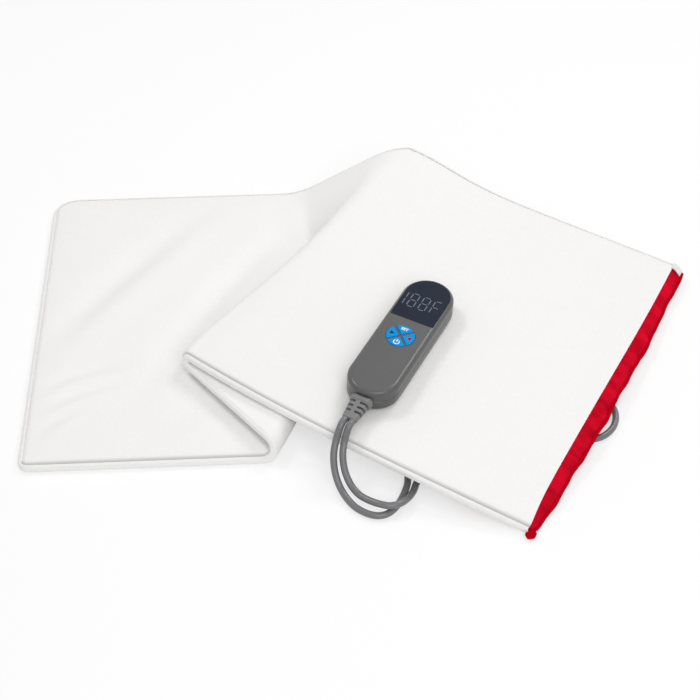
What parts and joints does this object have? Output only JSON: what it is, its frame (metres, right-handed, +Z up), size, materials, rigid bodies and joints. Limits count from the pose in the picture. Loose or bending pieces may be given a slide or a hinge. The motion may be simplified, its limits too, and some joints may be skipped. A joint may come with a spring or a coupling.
{
  "type": "moist heating pad",
  "caption": "Folded rectangular heating pad in a white fleece cover with a red inner pad, a hand controller with a display and round keypad, and a coiled mains cord.",
  "frame": {"origin": "bottom middle of the box round the pad and controller, on the surface that the pad lies on", "axes": "+X along the front edge of the flat part of the pad, from its closed end towards its red open end; +Y away from that edge; +Z up"},
  "size_m": [0.6122, 0.4556, 0.0623],
  "materials": {
    "fleece": "brushed fleece",
    "red_fabric": "satin",
    "housing": "fine matt",
    "cord": "satin",
    "window": "polished",
    "key": "satin",
    "board": "satin",
    "black_plastic": "satin",
    "rubber_mat": "matt",
    "steel": "bright",
    "brass": "bright",
    "wire": "satin"
  },
  "bodies": {
    "pad": {"cover_bottom_panel": "fleece", "cover_top_panel": "fleece", "cover_edge_band": "fleece", "cover_corner_tab": "fleece", "inner_pad_lower_sheet": "red_fabric", "inner_pad_upper_sheet": "red_fabric", "inner_pad_binding": "red_fabric", "binding_knot": "red_fabric", "heating_wire": "wire", "thermostat_1": "black_plastic", "thermostat_2": "black_plastic", "controller_lower_shell": "housing", "controller_upper_shell": "housing", "display_window": "window", "display_module": "black_plastic", "circuit_board": "board", "key_mat": "rubber_mat", "set_switch_dome": "steel", "down_switch_dome": "steel", "up_switch_dome": "steel", "power_switch_dome": "steel", "power_triac": "black_plastic", "supply_fuse": "steel", "supply_capacitor": "black_plastic", "housing_screw_1": "steel", "housing_screw_2": "steel", "housing_screw_3": "steel", "housing_screw_4": "steel", "cord_clamp": "black_plastic", "controller_strain_relief": "cord", "pad_lead": "cord", "mains_cord_run": "cord", "mains_cord_coil": "cord", "mains_cord_tail": "cord", "coil_tie": "black_plastic", "pad_lead_boot": "cord", "plug_body": "cord", "plug_blade_1": "brass", "plug_blade_2": "brass", "plug_strain_relief": "cord"},
    "set_button": {"set_key": "key"},
    "down_button": {"down_key": "key"},
    "up_button": {"up_key": "key"},
    "power_button": {"power_key": "key"}
  },
  "joints": [
    {"name": "set_press", "type": "slide", "parent": "pad", "child": "set_button", "axis": [-0.0279, 0.0341, -0.999], "range_m": [0, 0.0008], "stiffness_N_per_m": 400, "springref_m": -0.0006},
    {"name": "down_press", "type": "slide", "parent": "pad", "child": "down_button", "axis": [-0.0279, 0.0341, -0.999], "range_m": [0, 0.0008], "stiffness_N_per_m": 400, "springref_m": -0.0006},
    {"name": "up_press", "type": "slide", "parent": "pad", "child": "up_button", "axis": [-0.0279, 0.0341, -0.999], "range_m": [0, 0.0008], "stiffness_N_per_m": 400, "springref_m": -0.0006},
    {"name": "power_press", "type": "slide", "parent": "pad", "child": "power_button", "axis": [-0.0279, 0.0341, -0.999], "range_m": [0, 0.0008], "stiffness_N_per_m": 400, "springref_m": -0.0006}
  ]
}
